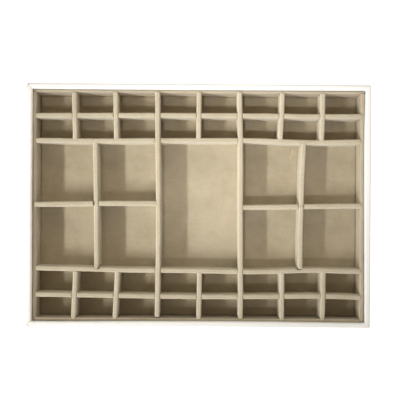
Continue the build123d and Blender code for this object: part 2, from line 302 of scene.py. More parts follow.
def spot(tree, where, centre, radius, soft):
    """1 inside an ellipsoid round a place, falling to 0 at its edge."""
    sub = tree.nodes.new("ShaderNodeVectorMath")
    sub.operation = "SUBTRACT"
    sub.inputs[1].default_value = centre
    tree.links.new(where, sub.inputs[0])
    div = tree.nodes.new("ShaderNodeVectorMath")
    div.operation = "DIVIDE"
    div.inputs[1].default_value = radius
    tree.links.new(sub.outputs["Vector"], div.inputs[0])
    length = tree.nodes.new("ShaderNodeVectorMath")
    length.operation = "LENGTH"
    tree.links.new(div.outputs["Vector"], length.inputs[0])
    node = tree.nodes.new("ShaderNodeMapRange")
    node.interpolation_type = "SMOOTHSTEP"
    node.inputs["From Min"].default_value = 1.0
    node.inputs["From Max"].default_value = 1.0 - soft
    node.inputs["To Min"].default_value = 0.0
    node.inputs["To Max"].default_value = 1.0
    tree.links.new(length.outputs["Value"], node.inputs["Value"])
    return node.outputs["Result"]


VELVET = (0.490, 0.437, 0.333)


def velvet(name, tint=(1.0, 1.0, 1.0), mottle=1.0, streaks=(), painted_side_light=0.12, painted_back_face_shade=1.0, marks_at=(), sheen=0.30, nap=0.30):
    """Short-pile velvet: clouded colour where the pile lies differently, fine grain, a soft sheen, and painted light
    and shade by the way a face turns.
    """
    mat, tree, bsdf, where = new_material(name)
    base = tuple(c * t for c, t in zip(VELVET, tint))
    dark = tuple(c * (1 - 0.08 * mottle) * k for c, k in zip(base, (1.0, 0.985, 0.955)))
    light = tuple(min(c * (1 + 0.07 * mottle) * k, 1.0) for c, k in zip(base, (1.0, 1.005, 1.02)))
    clouds = tex_noise(tree, where, 55.0, 4.0, 0.6)
    colour = ramp(tree, clouds, [(0.30, dark), (0.50, base), (0.70, light)])
    # pile that lies over in long brush marks
    marks = tex_noise(tree, where, 90.0, 3.0, 0.5, stretch=(1.0, 4.0, 2.0), turn=0.5)
    marks = ramp(tree, marks, [(0.38, (0.96, 0.955, 0.95)), (0.62, (1.03, 1.03, 1.03))])
    colour = mix(tree, "MULTIPLY", 0.35 * mottle, colour, marks)
    # grain of the pile
    grain = tex_noise(tree, where, 2600.0, 2.0, 0.6)
    grains = ramp(tree, grain, [(0.30, (0.86, 0.85, 0.83)), (0.70, (1.10, 1.10, 1.10))])
    colour = mix(tree, "MULTIPLY", 0.55, colour, grains)
    # uneven nap, in spots of about a millimetre
    uneven = tex_noise(tree, where, 750.0, 2.0, 0.6)
    spots = ramp(tree, uneven, [(0.32, (0.86, 0.855, 0.84)), (0.68, (1.12, 1.12, 1.12))])
    colour = mix(tree, "MULTIPLY", nap, colour, spots)
    for centre, radius, soft, tone, strength in marks_at:
        inside = maths(tree, "MULTIPLY", spot(tree, where, centre, radius, soft), strength)
        colour = mix(tree, "MULTIPLY", inside, colour, tone)
    for centre, radius, soft, tone, strength in streaks:
        inside = spot(tree, where, centre, radius, soft)
        patchy = tex_noise(tree, where, 420.0, 2.0, 0.6)
        inside = maths(tree, "MULTIPLY", inside, maths(tree, "MULTIPLY_ADD", patchy, 1.6, -0.3, clamp=True))
        inside = maths(tree, "MULTIPLY", inside, strength)
        colour = mix(tree, "MULTIPLY", inside, colour, tone)
    # painted light and shade: faces towards the left, where the lamps fall, are painted lighter than those towards the
    # right, and faces towards the back can be painted darker
    facing = tree.nodes.new("ShaderNodeNewGeometry")
    apart = tree.nodes.new("ShaderNodeSeparateXYZ")
    tree.links.new(facing.outputs["Normal"], apart.inputs[0])
    painted_side_tone = maths(tree, "MULTIPLY_ADD", apart.outputs["X"], -painted_side_light, 1.0)
    painted_side_tone = maths(tree, "MULTIPLY", painted_side_tone, maths(tree, "MULTIPLY_ADD", maths(tree, "MAXIMUM", apart.outputs["Y"], 0.0), painted_back_face_shade - 1.0, 1.0))
    painted_side_tone_colour = tree.nodes.new("ShaderNodeCombineColor")
    for socket in ("Red", "Green", "Blue"):
        tree.links.new(painted_side_tone, painted_side_tone_colour.inputs[socket])
    node = tree.nodes.new("ShaderNodeVectorMath")
    node.operation = "MULTIPLY"
    tree.links.new(colour, node.inputs[0])
    tree.links.new(painted_side_tone_colour.outputs[0], node.inputs[1])
    colour = node.outputs[0]
    tree.links.new(colour, bsdf.inputs["Base Color"])
    bsdf.inputs["Roughness"].default_value = 0.92
    bsdf.inputs["Specular IOR Level"].default_value = 0.12
    bsdf.inputs["Sheen Weight"].default_value = sheen
    bsdf.inputs["Sheen Roughness"].default_value = 0.42
    bsdf.inputs["Sheen Tint"].default_value = (0.98, 1.0, 0.98, 1.0)
    lumps = tex_noise(tree, where, 260.0, 3.0, 0.55)
    n = bump(tree, lumps, 0.35, 0.0009)
    n = bump(tree, grain, 0.55, 0.00022, n)
    tree.links.new(n, bsdf.inputs["Normal"])
    return mat


def leatherette(name):
    """White coated cloth: fine pebbled grain, a satin skin, yellowish grey lines along the fold lines, and painted
    shade: a creamier tone towards the right front corner and a grey line along the back and right outer edges.
    """
    mat, tree, bsdf, where = new_material(name)
    white = (0.95, 0.962, 0.965)
    cream = (0.94, 0.94, 0.905)
    clouds = tex_noise(tree, where, 38.0, 4.0, 0.6)
    colour = ramp(tree, clouds, [(0.35, (0.94, 0.948, 0.935)), (0.60, white)])
    split = tree.nodes.new("ShaderNodeSeparateXYZ")
    tree.links.new(where, split.inputs[0])
    x, y = split.outputs["X"], split.outputs["Y"]
    # painted shade: creamier and a little darker towards the right and front, where the rim gets less light
    toward = maths(tree, "MULTIPLY_ADD", x, 3.6, -0.28, clamp=True)
    down = maths(tree, "MULTIPLY_ADD", y, -5.0, 0.42, clamp=True)
    painted_corner_shade = maths(tree, "MULTIPLY", toward, down)
    painted_corner_shade = maths(tree, "MULTIPLY", painted_corner_shade, maths(tree, "MULTIPLY_ADD", clouds, 1.5, 0.1, clamp=True))
    colour = mix(tree, "MIX", painted_corner_shade, colour, cream)
    # fold lines of the covering on the corners' mitres
    ax, ay = maths(tree, "ABSOLUTE", x), maths(tree, "ABSOLUTE", y)
    off = maths(tree, "SUBTRACT", maths(tree, "SUBTRACT", ax, ay), (HALF_X - HALF_Y) * MM)
    off = maths(tree, "ABSOLUTE", off)
    line = maths(tree, "MULTIPLY_ADD", off, -1 / 0.00045, 1.0, clamp=True)
    left = maths(tree, "LESS_THAN", x, 0.0)
    line = maths(tree, "MULTIPLY", line, maths(tree, "MULTIPLY_ADD", left, 0.60, 0.10))
    colour = mix(tree, "MIX", line, colour, (0.52, 0.51, 0.45))
    corner = spot(tree, where, (-0.1702, 0.1202, 0.0310), (0.0017, 0.0017, 0.005), 0.8)
    colour = mix(tree, "MIX", maths(tree, "MULTIPLY", corner, 0.92), colour, (0.34, 0.35, 0.34))
    # painted shade: a faint grey line along the outer edge at the back and right, where the rounded edge turns away
    # from the lamps
    edge = maths(tree, "MAXIMUM", maths(tree, "SUBTRACT", x, HALF_X * MM), maths(tree, "SUBTRACT", y, HALF_Y * MM))
    edge = maths(tree, "MULTIPLY_ADD", maths(tree, "ABSOLUTE", maths(tree, "ADD", edge, 0.0007)), -1 / 0.0008, 1.0, clamp=True)
    high = maths(tree, "MULTIPLY_ADD", split.outputs["Z"], 1 / 0.002, -0.0290 / 0.002, clamp=True)
    edge = maths(tree, "MULTIPLY", maths(tree, "MULTIPLY", edge, high), 0.70)
    colour = mix(tree, "MIX", edge, colour, (0.60, 0.60, 0.575))
    tree.links.new(colour, bsdf.inputs["Base Color"])
    bsdf.inputs["Specular IOR Level"].default_value = 0.35
    rough = tex_noise(tree, where, 150.0, 3.0, 0.6)
    rough = maths(tree, "MULTIPLY_ADD", rough, 0.22, 0.36)
    tree.links.new(rough, bsdf.inputs["Roughness"])
    cells = tree.nodes.new("ShaderNodeTexVoronoi")
    cells.feature = "DISTANCE_TO_EDGE"
    cells.inputs["Scale"].default_value = 1150.0
    tree.links.new(where, cells.inputs["Vector"])
    pebble = maths(tree, "MINIMUM", cells.outputs["Distance"], 0.25)
    n = bump(tree, pebble, 0.30, 0.0003)
    soft = tex_noise(tree, where, 120.0, 3.0, 0.6)
    n = bump(tree, soft, 0.18, 0.0012, n)
    tree.links.new(n, bsdf.inputs["Normal"])
    return mat


def fibreboard(name):
    mat, tree, bsdf, where = new_material(name)
    fibres = tex_noise(tree, where, 900.0, 4.0, 0.7, stretch=(1.0, 1.0, 3.0))
    colour = ramp(tree, fibres, [(0.30, (0.25, 0.155, 0.085)), (0.52, (0.36, 0.245, 0.145)), (0.72, (0.47, 0.34, 0.21))])
    tree.links.new(colour, bsdf.inputs["Base Color"])
    bsdf.inputs["Roughness"].default_value = 0.85
    tree.links.new(bump(tree, fibres, 0.3, 0.0004), bsdf.inputs["Normal"])
    return mat


def greyboard(name):
    mat, tree, bsdf, where = new_material(name)
    flecks = tex_noise(tree, where, 1400.0, 3.0, 0.75)
    clouds = tex_noise(tree, where, 120.0, 2.0, 0.5)
    colour = ramp(tree, flecks, [(0.30, (0.17, 0.16, 0.145)), (0.50, (0.29, 0.275, 0.25)), (0.75, (0.42, 0.40, 0.36))])
    shade = ramp(tree, clouds, [(0.35, (0.92, 0.92, 0.92)), (0.65, (1.06, 1.05, 1.03))])
    colour = mix(tree, "MULTIPLY", 1.0, colour, shade)
    tree.links.new(colour, bsdf.inputs["Base Color"])
    bsdf.inputs["Roughness"].default_value = 0.9
    tree.links.new(bump(tree, flecks, 0.25, 0.0003), bsdf.inputs["Normal"])
    return mat


def felt(name):
    mat, tree, bsdf, where = new_material(name)
    fibres = tex_noise(tree, where, 700.0, 5.0, 0.75)
    clouds = tex_noise(tree, where, 45.0, 3.0, 0.6)
    colour = ramp(tree, fibres, [(0.28, (0.33, 0.295, 0.235)), (0.50, (0.46, 0.42, 0.345)), (0.72, (0.58, 0.54, 0.455))])
    shade = ramp(tree, clouds, [(0.35, (0.90, 0.90, 0.90)), (0.65, (1.06, 1.06, 1.05))])
    colour = mix(tree, "MULTIPLY", 1.0, colour, shade)
    tree.links.new(colour, bsdf.inputs["Base Color"])
    bsdf.inputs["Roughness"].default_value = 0.95
    bsdf.inputs["Sheen Weight"].default_value = 0.25
    bsdf.inputs["Sheen Roughness"].default_value = 0.6
    tree.links.new(bump(tree, fibres, 0.6, 0.0005), bsdf.inputs["Normal"])
    return mat


# tone of the dark marks on the strips; at the bay divider crossings it is painted shade
DARK = (0.20, 0.18, 0.15)
velvet_divider = velvet(
    "velvet_dividers",
    (1.12, 1.13, 1.16),
    0.7,
    # painted light on faces towards the left, painted shade on faces towards the right
    painted_side_light=0.18,
    sheen=0.42,
    nap=0.45,
    marks_at=[
        # painted shade: dark notches and smudges in the gaps at the crossings of the bay dividers
        ((-0.1044, 0.0018, 0.0285), (0.0010, 0.0017, 0.0030), 0.6, DARK, 0.75),
        ((0.1018, 0.0003, 0.0290), (0.0009, 0.0013, 0.0020), 0.7, DARK, 0.62),
        ((0.1043, 0.0006, 0.0290), (0.0007, 0.0017, 0.0020), 0.7, DARK, 0.72),
        ((0.1046, -0.0045, 0.0290), (0.0007, 0.0010, 0.0020), 0.7, DARK, 0.65),
        ((0.0995, -0.0020, 0.0290), (0.0006, 0.0010, 0.0020), 0.7, DARK, 0.58),
    ],
)
velvet_cross = velvet(
    "velvet_cross_dividers",
    (1.06, 1.07, 1.085),
    0.7,
    # painted light on faces towards the left, painted shade on faces towards the right
    painted_side_light=0.14,
    sheen=0.42,
    nap=0.45,
    marks_at=[
        # dark lines painted on the cross divider's top where the bay dividers' front ends lie on it
        ((-0.1008, -0.0628, 0.0290), (0.0031, 0.0018, 0.0030), 0.45, DARK, 0.90),
        ((0.1010, -0.0624, 0.0290), (0.0038, 0.0018, 0.0030), 0.45, DARK, 0.95),
    ],
)
# painted shade on the liners' faces towards the back and on the left liner's face, painted light on the right liner's
# face
velvet_liner = velvet("velvet_liners", (1.03, 1.0, 1.0), 0.9, painted_side_light=0.18, painted_back_face_shade=0.66)
velvet_floor = velvet(
    "velvet_floor",
    (1.0, 1.0, 1.0),
    1.15,
    marks_at=[
        # three short scratches in the pile
        ((0.0945, 0.0515, 0.007), (0.0008, 0.0033, 0.01), 0.5, (1.27, 1.27, 1.28), 0.9),
        ((0.0966, 0.0564, 0.007), (0.0009, 0.0042, 0.01), 0.5, (1.30, 1.30, 1.31), 0.9),
        ((0.0996, 0.0559, 0.007), (0.0007, 0.0034, 0.01), 0.5, (1.15, 1.15, 1.16), 0.8),
    ],
    streaks=[
        ((-0.0050, 0.0420, 0.007), (0.0200, 0.0120, 0.01), 0.8, (1.05, 1.05, 1.05), 0.6),
        ((0.0140, -0.0300, 0.007), (0.0150, 0.0220, 0.01), 0.8, (1.05, 1.05, 1.05), 0.6),
    ],
)
leather_white = leatherette("leatherette_white")
wood = fibreboard("fibreboard")
board = greyboard("greyboard")
felt_base = felt("felt")


def dress(obj, mat):
    if obj.data.materials:
        for i in range(len(obj.data.materials)):
            obj.data.materials[i] = mat
        for s in obj.material_slots:
            s.material = mat
    else:
        obj.data.materials.append(mat)


def place(obj, mat, body, slot, *replaced):
    dress(obj, mat)
    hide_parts(*replaced)
    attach(obj, body)
    return obj


# ------------------------------------------------------------------ CAD pieces that stay, with better materials
for name, obj in nodes.items():
    if name.startswith("rail_") or name == "base_panel":
        dress(obj, wood)
    elif name.endswith("_board") or name.startswith("liner_board") or name == "floor_board":
        dress(obj, board)


# ------------------------------------------------------------------ leatherette covering
def rim_loops():
    """The covering's section from behind the liner, over the rim, down outside and under the base: (inset, z)."""
    r = 1.5
    section = [(RIM, 21.0), (RIM, 23.5), (RIM, 26.0), (RIM, 28.5), (RIM, 30.3)]
    for a in (12, 30, 48, 66, 84):
        section.append((RIM - r + r * math.cos(math.radians(a)), HEIGHT - r + r * math.sin(math.radians(a))))
    section += [(3.3, HEIGHT + 0.02), (2.75, HEIGHT + 0.03), (2.0, HEIGHT + 0.02), (1.3, HEIGHT + 0.01)]
    r = 0.9
    for a in (84, 66, 48, 30, 12):
        section.append((r - r * math.cos(math.radians(a)), HEIGHT - r + r * math.sin(math.radians(a))))
    section += [(0.0, 30.4), (0.0, 28.0), (0.0, 25.0), (0.0, 21.5), (0.0, 18.0), (0.0, 14.5), (0.0, 11.0), (0.0, 7.5), (0.0, 4.5), (0.0, 2.3)]
    for a in (15, 40, 65, 88):
        section.append((1.0 - math.cos(math.radians(a)), 2.0 - math.sin(math.radians(a))))
    section += [(2.5, 1.0), (5.0, 1.0), (8.0, 1.0), (12.0, 1.0)]
    return section


def along_side(half):
    """Places along one side between its corners, finer towards the corners, from -1 to 1 as distance from the ends."""
    near = [0.0, 0.35, 0.8, 1.5, 2.6, 4.2, 7.0, 11.0]
    places = [-half + d for d in near]
    n = max(int(round((2 * half - 22) / 6.0)), 4)
    places += [-half + 11 + (2 * half - 22) * i / n for i in range(1, n)]
    places += [half - d for d in reversed(near)]
    return places


# how far the covering's inner edge stands off outward from its even line, along each side
mouth_right = spline_through([(-121.0, 0.6), (-99.0, 0.6), (-74.0, 0.45), (-44.0, 0.15), (-14.0, -0.15), (25.0, -0.35), (45.0, -0.45), (80.0, -0.25), (102.0, 0.25), (121.0, 0.3)])
mouth_left = spline_through([(-121.0, 0.3), (-100.0, 0.3), (-74.0, 0.25), (-44.0, 0.4), (-14.0, 0.52), (25.0, 0.6), (121.0, 0.6)])
mouth_back = spline_through([(-171.0, 0.55), (0.0, 0.45), (130.0, 0.6), (171.0, 0.6)])
mouth_front = spline_through([(-171.0, 0.58), (-130.0, 0.55), (-103.0, 0.35), (-58.0, -0.05), (0.0, -0.3), (60.0, -0.3), (106.0, 0.0), (146.0, 0.3), (171.0, 0.35)])


def covering():
    section = rim_loops()
    rows = []
    crease = {0: 0.10, 1: 0.32, 2: 0.30, 3: 0.12}  # fold depth at the corners, from back right round to front right
    for inset, z in section:
        a, b = HALF_X - inset, HALF_Y - inset
        rc = max(1.5 - inset, 0.12)
        loop = []
        sides = [
            ((1, 0), (0, 1), a, b),
            ((0, 1), (-1, 0), b, a),
            ((-1, 0), (0, -1), a, b),
            ((0, -1), (1, 0), b, a),
        ]
        for k, (out, run, far, half) in enumerate(sides):
            straight = half - rc
            scale = straight / (half + 1e-9)
            for s in along_side(half):
                p = max(min(s, straight), -straight) if abs(s) > straight - 0.34 else s
                t = p if abs(p) <= straight else math.copysign(straight, p)
                # keep the places in order next to the corner
                if abs(s) > straight - 0.6:
                    gap = half - abs(s)
                    t = math.copysign(straight - gap * 0.9, s)
                loop.append((out[0] * far + run[0] * t, out[1] * far + run[1] * t, k, half - abs(s)))
            cx, cy = out[0] * (far - rc) + run[0] * straight, out[1] * (far - rc) + run[1] * straight
            for step in (18, 36, 54, 72):
                c, s_ = math.cos(math.radians(step)), math.sin(math.radians(step))
                loop.append((cx + rc * (out[0] * c + run[0] * s_), cy + rc * (out[1] * c + run[1] * s_), k, -1.0))
        row = []
        for x, y, k, gap in loop:
            zz = z
            top = ease((z - 29.6) / 2.0)
            outer = ease((RIM - inset) / 0.5) if z > 25 else 1.0
            # fold of the covering on the mitre
            if gap < 0.9:
                near_corner = 1.0 if gap < 0.1 else 0.35
                corner = k if gap < 0 or (x * y > 0) == (k in (0, 2)) else k - 1
                which = {(1, 1): 0, (-1, 1): 1, (-1, -1): 2, (1, -1): 3}[(1 if x > 0 else -1, 1 if y > 0 else -1)]
                zz -= crease[which] * near_corner * top
            # the coated cloth lies over the rail with faint unevenness
            zz += 0.07 * wob(x / 14, y / 14, 0.0, 3) * top
            push = 0.10 * wob(x / 22, y / 22, z / 12, 4) * (1 - top) * (1.0 if 3.0 < z < 29.0 else 0.3)
            if z < 1.9:
                push, zz = 0.0, z
            if abs(abs(x) - (HALF_X - inset)) < 0.2:
                x -= math.copysign(abs(push), x)
            if abs(abs(y) - (HALF_Y - inset)) < 0.2:
                y -= math.copysign(abs(push), y)
            # the covering bulges a little over the middle of the right rail and lies tight on the others
            mouth = ease((inset - 2.8) / 2.2) * (1.0 if z > 5.0 else 0.0)
            x += mouth * (mouth_right(y) * ease((x - 150.0) / 12.0) - mouth_left(y) * ease((-x - 150.0) / 12.0))
            y += mouth * (mouth_back(x) * ease((y - 100.0) / 12.0) - mouth_front(x) * ease((-y - 100.0) / 12.0))
            row.append((x, y, zz))
        rows.append(row)
    across = len(rows[0])
    middle = next(i for i, (inset, z) in enumerate(section) if inset == 0.0 and z < 20)
    index = middle * across + len(along_side(HALF_Y)) // 2
    obj = grid_mesh("leatherette_covering", rows, close_columns=True, outward=(index, (1, 0, 0)))
    thicken(obj, 0.62)
    return obj


cover = covering()
place(cover, leather_white, "tray_case", "white_leatherette", "leatherette_wrap")


# ------------------------------------------------------------------ wall liners
def liner(place_name, along_x, sign, face, start, end, seed, stand=(), lean=(), thick=2.4, spread=(), back_r=1.15):
    """A velvet-wrapped board along one wall. stand shifts the whole face inward, through (place, shift) points, lean bows its top edge inward spread widens it towards the rail and back_r rounds its back edge."""
    r = 0.9
    section = [(0.0, z) for z in (7.0, 7.4, 7.9, 8.6, 9.6, 11.5, 14.0, 16.5, 19.0, 21.5, 24.0, 26.0, 27.3)]
    for a in (20, 42, 64, 84):
        section.append((r - r * math.cos(math.radians(a)), LINER_TOP - r + r * math.sin(math.radians(a))))
    section.append((thick / 2, LINER_TOP - 0.05))
    for a in (84, 64, 42, 20, 0):
        section.append((thick - back_r + back_r * math.cos(math.radians(a)), LINER_TOP - back_r + back_r * math.sin(math.radians(a))))
    section += [(thick, z) for z in (25.5, 23.0, 20.5, 18.4)]
    stand_at = spline_through(stand) if stand else (lambda s: 0.0)
    spread_at = spline_through(spread) if spread else (lambda s: 0.0)
    rows = []
    for s in stations(start, end, 2.4):
        row = []
        for depth, z in section:
            high = ease((z - FLOOR) / 20.0)
            front = 1.0 - depth / thick
            inward = sum(a * math.exp(-(((s - c) / w) ** 2)) for c, w, a in lean) * high * (0.35 + 0.65 * front)
            inward += max(stand_at(s), 0.0) * (0.4 + 0.6 * front)
            # the back of the wrap can't leave its board
            inward = min(inward, 1.6 if front > 0.5 else 0.42)
            d = depth - inward + spread_at(s) * max(0.0, 1.0 - 2.0 * front)
            d += (0.10 * wob(s / 16, z / 10, 0.0, seed) + 0.05 * wob(s / 5, z / 5, 1.0, seed)) * front * (0.25 if z < 8 else 1.0)
            # turned in where it meets the floor
            d += 0.40 * (1.0 - ease((z - FLOOR) / 1.7)) * front
            d = min(d, 0.44) if front > 0.95 else d
            zz = z
            if z > 27.5:
                zz += 0.07 * wob(s / 20, 0.0, depth / 3, seed + 7) - 0.05 + 0.05 * wob(s / 6, 3.0, 0.0, seed)
            place_at = face + sign * d
            row.append((s, place_at, zz) if along_x else (place_at, s, zz))
        rows.append(row)
    direction = (0, -sign, 0) if along_x else (-sign, 0, 0)
    obj = grid_mesh("liner_velvet_" + place_name + "_wrapped", rows, outward=(6, direction))
    thicken(obj, 0.46)
    place(obj, velvet_liner, "tray_case", "beige_velvet", "liner_velvet_" + place_name)
    return obj


liner("back", True, 1, FACE_BACK, -165.7, 165.2, 11, lean=[(60.0, 40.0, 0.10)], thick=2.4)
liner(
    "front", True, -1, FACE_FRONT - 0.45, -163.0, 162.1, 12,
    lean=[(-60.0, 50.0, 0.15), (120.0, 30.0, 0.15)],
    thick=3.0,
    spread=[(-163.0, 0.35), (-110.0, 0.3), (-60.0, 0.0), (60.0, 0.0), (110.0, 0.1), (162.1, 0.25)],
    back_r=0.85,
)
liner(
    "left", False, -1, FACE_LEFT, -115.1, 113.2, 13,
    stand=[(-113.8, 0.75), (-90.0, 0.85), (-45.0, 0.75), (0.0, 0.50), (45.0, 0.25), (90.0, 0.0), (113.2, 0.0)],
    lean=[(30.0, 40.0, 0.35), (-45.0, 30.0, 0.35), (-78.0, 16.0, 0.15)],
    thick=2.85,
    spread=[(-113.8, 0.0), (40.0, 0.1), (113.2, 0.4)],
)
liner(
    "right", False, 1, FACE_RIGHT, -115.1, 113.2, 14,
    lean=[(36.0, 14.0, 0.45), (-102.5, 8.0, 0.75), (-35.0, 20.0, 0.2)],
    thick=2.85,
    spread=[(-113.8, 1.1), (-98.0, 1.15), (-74.0, 0.9), (-44.0, 0.7), (-14.0, 0.5), (25.0, 0.3), (45.0, 0.2), (80.0, 0.4), (102.0, 0.95), (113.2, 0.95)],
    back_r=0.85,
)


# ------------------------------------------------------------------ floor velvet and base felt
def spaced(half, step, fine):
    """Places from -half to half, in even steps, with half a millimetre steps over the fine border widths (low end, high end)."""
    low, high = fine
    places = [-half + 0.5 * i for i in range(int(low / 0.5))]
    a, b = -half + 0.5 * int(low / 0.5), half - 0.5 * int(high / 0.5)
    n = int(round((b - a) / step))
    places += [a + (b - a) * i / n for i in range(n + 1)]
    places += [b + 0.5 * (i + 1) for i in range(int(high / 0.5))]
    return places


def flat_sheet(name, half_x, half_y, step, height, corner, outward_z, fine_x=(0.0, 0.0), fine_y=(0.0, 0.0)):
    rows = []
    for x_place in spaced(half_x, step, fine_x):
        row = []
        for y_place in spaced(half_y, step, fine_y):
            x, y = x_place, y_place
            # round the corners by squeezing the corner square into a quadrant
            u, v = abs(x) - (half_x - corner), abs(y) - (half_y - corner)
            if u > 0 and v > 0:
                m = max(u, v) / math.hypot(u, v)
                x = math.copysign(half_x - corner + u * m, x)
                y = math.copysign(half_y - corner + v * m, y)
            row.append((x, y, height(x, y)))
        rows.append(row)
    return grid_mesh(name, rows, outward=(0, (0, 0, outward_z)))


def floor_height(x, y):
    """Top of the floor's velvet: faintly uneven, and pressed down along the wall liners that stand on it."""
    inside = min(x - FACE_LEFT, FACE_RIGHT - x, FACE_BACK - y, y - FACE_FRONT)
    pressed = 0.50 * (1.0 - ease((inside + 0.2) / 1.5))
    return FLOOR - 0.06 + 0.05 * wob(x / 12, y / 12, 0.0, 21) - 0.03 * abs(wob(x / 5, y / 5, 0.0, 22)) - pressed


lining = flat_sheet("floor_velvet_lining", 166.5, 116.0, 2.4, floor_height, 0.5, 1, (6.5, 6.5), (6.5, 6.5))
thicken(lining, 0.3)
place(lining, velvet_floor, "tray_case", "beige_velvet", "floor_velvet")


def pad_height(x, y):
    """Underside of the felt: on the table along its border, and dished up over the opening of the turned-under covering."""
    inside = min(158.6 - abs(x), 108.1 - abs(y))
    return 0.02 + 0.68 * ease(inside / 1.6 + 0.5) + 0.02 * wob(x / 15, y / 15, 0.0, 31)


pad = flat_sheet("base_felt_pad", 169.5, 119.0, 2.2, pad_height, 4.0, -1)
thicken(pad, 0.95)
place(pad, felt_base, "tray_case", "base_felt", "base_pad")


# ------------------------------------------------------------------ divider sleeves
# folds and nicks seen on single strips: (place along the run, side from -1 to 1, width, depth)
CREASES = {
    "cross_divider_back_inner": [(-119.0, -0.4, 1.6, 0.35), (-98.0, 0.5, 1.4, 0.3)],
    "cross_divider_front_outer": [(-21.0, -0.8, 1.3, 0.5)],
    "bay_divider_left": [(-58.5, 0.0, 1.2, 0.3)],
    "back_divider_left": [(107.0, 0.3, 1.2, 0.25)],
}
# slots cut a little too wide on one side: (run side, extra width)
WIDE_SLOTS = {"bay_cross_divider_left": (-0.30, 0.1), "bay_cross_divider_right": (-0.3, 0.35)}
# strips whose velvet stands a little further back at the foot than at the top
FOOT_BACK = {
    "cross_divider_back_outer": 0.5,
    "cross_divider_back_inner": 0.8,
    "cross_divider_front_inner": 0.6,
    "cross_divider_front_outer": 0.4,
}
# ends of the strips, (low end, high end): how far the folded velvet laps over the neighbour's top edge, how round the end
# is seen from above, how far its top rolls down, and how far it is raised by the neighbour
WALL = (0.3, 0.8, 0.7, 0.0)
MERGED = (0.9, 0.15, 0.05, 0.0)
ENDS = {
    "long_divider_left": ((0.6, 1.7, 1.0, 0.0), (0.4, 0.5, 0.5, 0.0)),
    "long_divider_right": ((1.0, 1.4, 0.8, 0.0), (0.8, 0.5, 0.5, 0.0)),
    "back_divider_far_left": (MERGED, (-0.2, 0.7, 0.7, 0.0)),
    "back_divider_left": (MERGED, (0.2, 0.7, 0.6, 0.0)),
    "back_divider_centre": (MERGED, (0.8, 0.6, 0.5, 0.0)),
    "back_divider_right": (MERGED, (0.3, 0.7, 0.6, 0.0)),
    "back_divider_far_right": (MERGED, (0.2, 0.7, 0.6, 0.0)),
    "front_divider_far_left": ((2.0, 1.0, 0.7, 0.0), (0.2, 1.4, 0.6, 0.0)),
    "front_divider_left": ((2.0, 1.0, 0.7, 0.0), MERGED),
    "front_divider_centre": ((1.6, 0.8, 0.5, 0.0), MERGED),
    "front_divider_right": ((2.0, 1.0, 0.7, 0.0), MERGED),
    "front_divider_far_right": ((1.8, 1.0, 0.7, 0.0), MERGED),
    "bay_divider_left": ((1.9, 2.3, 0.4, 0.8), MERGED),
    "bay_divider_right": ((0.9, 1.0, 0.4, 0.8), MERGED),
    "cross_divider_back_outer": ((0.4, 0.8, 0.7, 0.0), (1.5, 0.8, 0.5, 0.0)),
    "cross_divider_back_inner": ((0.2, 0.8, 0.7, 0.0), (0.5, 0.8, 0.6, 0.0)),
    "bay_cross_divider_left": ((1.0, 0.5, 0.3, 0.0), (0.9, 0.15, 0.05, 0.0)),
    "bay_cross_divider_right": ((0.35, 0.3, 0.3, 0.0), (1.7, 0.6, 0.5, 0.0)),
    "cross_divider_front_inner": ((-0.6, 0.9, 0.7, 0.0), (0.7, 0.9, 0.6, 0.0)),
    "cross_divider_front_outer": ((-0.45, 0.9, 0.7, 0.0), (1.2, 0.8, 0.5, 0.0)),
}


def partner_place(name, other, along_x):
    own = LEFT_TO_RIGHT[name] if along_x else FRONT_TO_BACK[name]
    theirs = FRONT_TO_BACK[other] if along_x else LEFT_TO_RIGHT[other]
    return min((abs(p[0] - q[1]) + abs(p[1] - q[0]), p[0]) for p in own for q in theirs)[1]


def quarter(e, r):
    """How far a quarter round of radius r has fallen at the distance e from its end."""
    return r * (1 - math.sqrt(max(0.0, 1 - ((r - min(e, r)) / r) ** 2))) if r > 0 else 0.0


